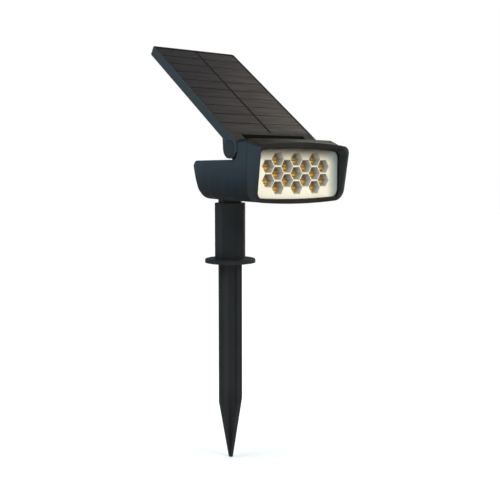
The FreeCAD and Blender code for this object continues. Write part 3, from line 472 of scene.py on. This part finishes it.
# Painted light: a paler copy of the black plastic, making up for the shade under the head.
NECK_PAINTED_LIGHT = moulded_black("plastic_neck_painted_light", (0.0240, 0.0252, 0.0258), (0.0330, 0.0345, 0.0352))
BEZEL = moulded_black("plastic_bezel", (0.0172, 0.0165, 0.0152), (0.0238, 0.0226, 0.0208),
                      roughness=0.62, gloss=0.03, painted_light=bezel_painted_light)
CAP = moulded_black("plastic_cap", (0.0185, 0.0235, 0.0270), (0.0225, 0.0285, 0.0330))
TRAY = moulded_black("plastic_tray", (0.0170, 0.0160, 0.0140), (0.0230, 0.0215, 0.0185),
                     painted_light=tray_painted_sheen)
STEEL = metal("steel_plated", (0.72, 0.72, 0.70), (0.5, 0.5, 0.49))
BRASS = metal("brass_plain", (0.78, 0.62, 0.30), (0.6, 0.45, 0.2))
SEAL = rubber("rubber_seal", (0.012, 0.012, 0.012), (0.022, 0.022, 0.022))
BUTTON = rubber("rubber_button", (0.05, 0.05, 0.05), (0.075, 0.073, 0.07))
BOARD = circuit_board()
CHIP = moulded_black("chip_epoxy", (0.01, 0.01, 0.01), (0.02, 0.02, 0.02),
                     grain=0.01 * MM, rounding=0.1 * MM)

FINISHES = {
    "ground_spike": SPIKE, "stake_sleeve": SLEEVE, "neck_post": NECK_PAINTED_LIGHT, "neck_seal": SEAL,
    "swivel_washer": STEEL, "swivel_screw": STEEL, "head_housing": HEAD, "front_bezel": BEZEL,
    "front_lens": clear_lens(), "lens_gasket": SEAL, "reflector": cream_reflector(),
    "led_board": BOARD, "led_packages": package_body(), "led_phosphors": amber_phosphor(),
    "board_screws": STEEL, "bezel_screws": STEEL, "battery_cell": shrink_sleeve(),
    "battery_cradle": BLACK, "battery_contacts": BRASS, "control_board": BOARD,
    "charge_chips": CHIP, "button_switch": CHIP, "hinge_bolts": STEEL, "hinge_nuts": BRASS,
    "hinge_washers": SEAL, "mode_button": BUTTON, "panel_tray": TRAY, "hinge_caps": CAP,
    "cell_backing": panel_backing(), "solar_cells": solar_cells(),
}


def dress_cad_nodes():
    for name, thing in frame["nodes"].items():
        thing.data.materials.clear()
        thing.data.materials.append(FINISHES[name])


# ---------------------------------------------------------------- floor, light and camera

def studio_floor():
    """Wide, flat white disc just under the spike's tip."""
    s = Shader("floor_white")
    mottle = s.noise(3.0, 2.0)
    colour = s.ramp(mottle, [(0.3, (0.90, 0.90, 0.90)), (0.7, (0.93, 0.93, 0.93))])
    white = s.show(s.principled(Base_Color=colour, Roughness=0.7, Specular_IOR_Level=0.2))
    reach, steps = 4.0, 24
    mesh = bpy.data.meshes.new("floor")
    rim = [Vector((math.cos(a) * reach, math.sin(a) * reach, FLOOR_Z))
           for a in (2 * math.pi * i / steps for i in range(steps))]
    mesh.from_pydata([tuple(p) for p in rim], [], [list(range(steps))])
    mesh.materials.append(white)
    floor = bpy.data.objects.new("floor", mesh)
    bpy.context.collection.objects.link(floor)


def turned_to(thing, place, aim):
    """Put a lamp or camera somewhere and point its -Z axis at a target."""
    thing.location = place
    thing.rotation_mode = "QUATERNION"
    thing.rotation_quaternion = (Vector(place) - Vector(aim)).to_track_quat("Z", "Y")
    bpy.context.collection.objects.link(thing)


def area_light(name, place, size, power, colour):
    """Soft rectangular lamp that faces the lamp head."""
    data = bpy.data.lights.new(name, "AREA")
    data.shape = "RECTANGLE"
    data.size, data.size_y = size
    data.energy = power
    data.color = colour
    turned_to(bpy.data.objects.new(name, data), place, HEAD_CENTRE)


def sky_light(name, direction, strength, colour, softness):
    """Even soft light from one direction, the same over the whole floor."""
    data = bpy.data.lights.new(name, "SUN")
    data.energy = strength
    data.color = colour
    data.angle = math.radians(softness)
    turned_to(bpy.data.objects.new(name, data), Vector(HEAD_CENTRE) + Vector(direction),
              HEAD_CENTRE)


def backdrop():
    """White behind the object, and a dimmer, cooler white for the light that falls on it."""
    world = bpy.data.worlds.new("studio")
    world.use_nodes = True
    tree = world.node_tree
    seen = tree.nodes["Background"]
    seen.inputs["Color"].default_value = (1.0, 1.0, 1.0, 1.0)
    lit = tree.nodes.new("ShaderNodeBackground")
    lit.inputs["Color"].default_value = (0.90, 0.96, 1.0, 1.0)
    lit.inputs["Strength"].default_value = 0.60
    path = tree.nodes.new("ShaderNodeLightPath")
    mixed = tree.nodes.new("ShaderNodeMixShader")
    tree.links.new(path.outputs["Is Camera Ray"], mixed.inputs[0])
    tree.links.new(lit.outputs[0], mixed.inputs[1])
    tree.links.new(seen.outputs[0], mixed.inputs[2])
    tree.links.new(mixed.outputs[0], tree.nodes["World Output"].inputs["Surface"])
    bpy.context.scene.world = world


def studio_light():
    backdrop()
    sky_light("key_front", (0.25, -0.85, 0.55), 1.6, (1.0, 0.96, 0.90), 30.0)
    sky_light("top_soft", (-0.3, 0.1, 0.95), 1.0, (1.0, 0.97, 0.93), 50.0)
    sky_light("back_fill", (0.95, 0.45, 0.22), 1.1, (0.96, 0.98, 1.0), 40.0)
    area_light("cool_left", (-1.0, 0.45, 0.75), (0.9, 0.7), 6.0, (0.42, 0.72, 1.0))
    area_light("warm_right", (0.8, 0.5, 0.7), (0.7, 0.7), 1.0, (1.0, 0.84, 0.60))


# The view: azimuth and pitch of the line of sight, and where the lens stands.
VIEW_AZIMUTH = math.radians(-37.957)
VIEW_PITCH = math.radians(5.862)
VIEW_PLACE = Vector((-420.94, -568.47, 83.52)) * MM
VIEW_FOCUS = 56.96
SENSOR_WIDTH = 36.0


def camera():
    data = bpy.data.cameras.new("camera")
    data.sensor_width = SENSOR_WIDTH
    data.lens = VIEW_FOCUS
    eye = bpy.data.objects.new("camera", data)
    ahead = Vector((-math.sin(VIEW_AZIMUTH) * math.cos(VIEW_PITCH),
                    math.cos(VIEW_AZIMUTH) * math.cos(VIEW_PITCH), -math.sin(VIEW_PITCH)))
    turned_to(eye, VIEW_PLACE, VIEW_PLACE + ahead)
    bpy.context.scene.camera = eye


bpy.context.scene.view_settings.view_transform = "Standard"
camera()
dress_cad_nodes()
studio_floor()
studio_light()
